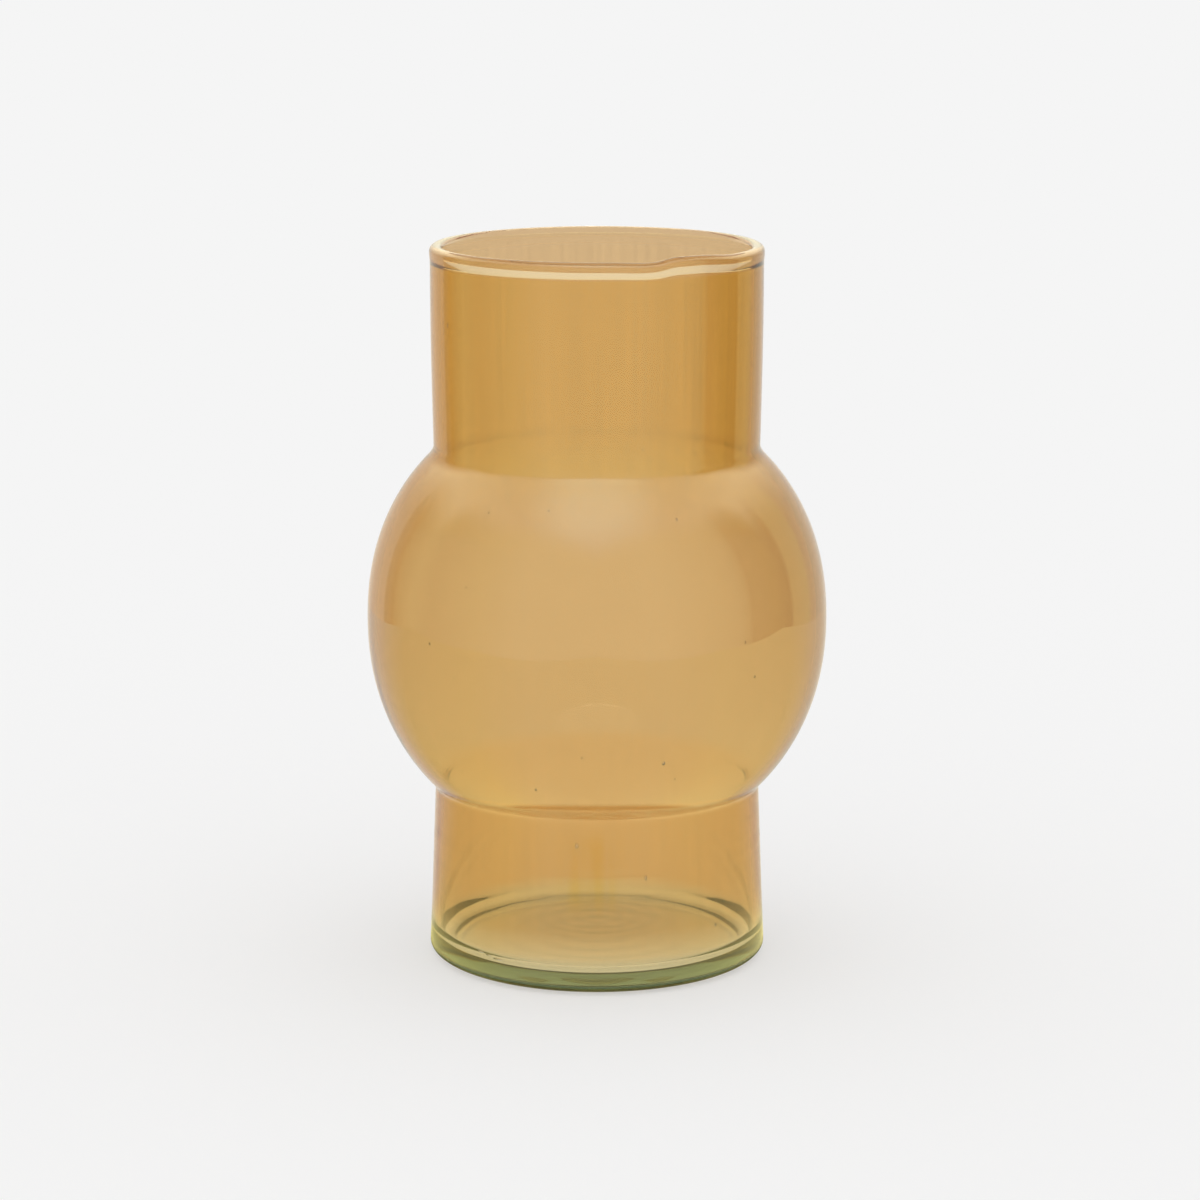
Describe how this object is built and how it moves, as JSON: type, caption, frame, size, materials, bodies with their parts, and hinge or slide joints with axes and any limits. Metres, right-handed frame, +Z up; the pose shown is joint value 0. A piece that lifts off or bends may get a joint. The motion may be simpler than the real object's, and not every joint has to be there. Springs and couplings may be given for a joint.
{
  "type": "glass vase",
  "caption": "Wide-mouthed blown glass vase: straight neck, ball-shaped body and thick round foot, with an amber coat inside.",
  "frame": {"origin": "middle of the resting plane under the base, on the vase's axis", "axes": "+Z up along the axis of revolution, out of the mouth; X and Y are equal because the vase is round"},
  "size_m": [0.1434, 0.1434, 0.226],
  "materials": {
    "green_glass": "polished",
    "amber_coat": "glossy"
  },
  "bodies": {
    "root": {"glass_lip": "green_glass", "glass_neck": "green_glass", "glass_shoulder": "green_glass", "glass_bulb": "green_glass", "glass_waist": "green_glass", "glass_foot": "green_glass", "glass_base": "green_glass", "amber_coat": "amber_coat"}
  },
  "joints": []
}
